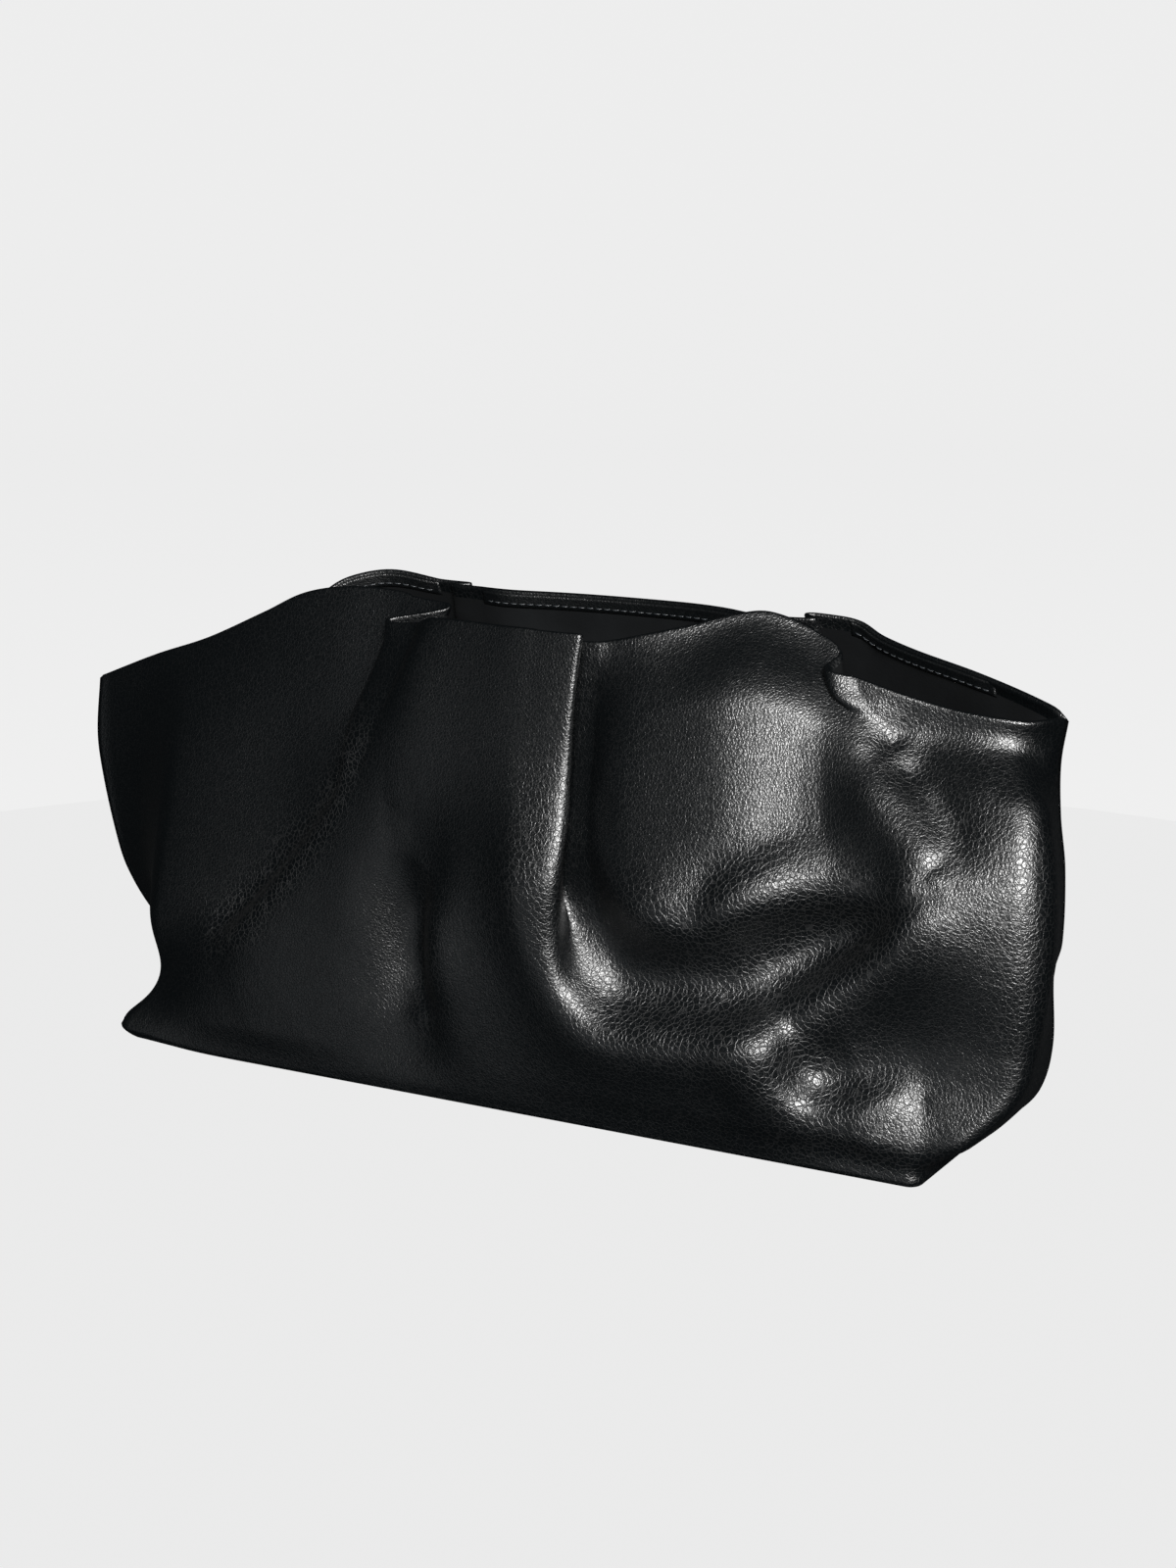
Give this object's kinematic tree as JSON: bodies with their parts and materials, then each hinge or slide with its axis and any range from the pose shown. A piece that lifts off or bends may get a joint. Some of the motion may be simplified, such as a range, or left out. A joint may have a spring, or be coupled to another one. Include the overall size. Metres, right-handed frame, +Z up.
{
  "type": "pleated leather pouch clutch",
  "caption": "Large soft leather pouch clutch with a wide open mouth gathered by pleats, a flat boxed base and deep slouching folds.",
  "frame": {"origin": "under the middle of the bag's box, on the surface that it stands on", "axes": "+X along the bag to the viewer's right when the front is seen, the front faces -Y, +Z is up"},
  "size_m": [0.3872, 0.1138, 0.17],
  "materials": {
    "nappa_leather": "satin black nappa with a fine pebbled grain",
    "hem_leather": "satin black turned edge with a stitched line",
    "base_leather": "matt black leather, slightly scuffed"
  },
  "bodies": {
    "root": {"front_panel": "nappa_leather", "back_panel": "nappa_leather", "base_panel": "base_leather", "front_hem_left": "hem_leather", "front_hem_middle": "hem_leather", "front_hem_right": "hem_leather", "front_hem_end": "hem_leather", "back_hem_left": "hem_leather", "back_hem_middle": "hem_leather", "back_hem_right": "hem_leather"}
  },
  "joints": []
}
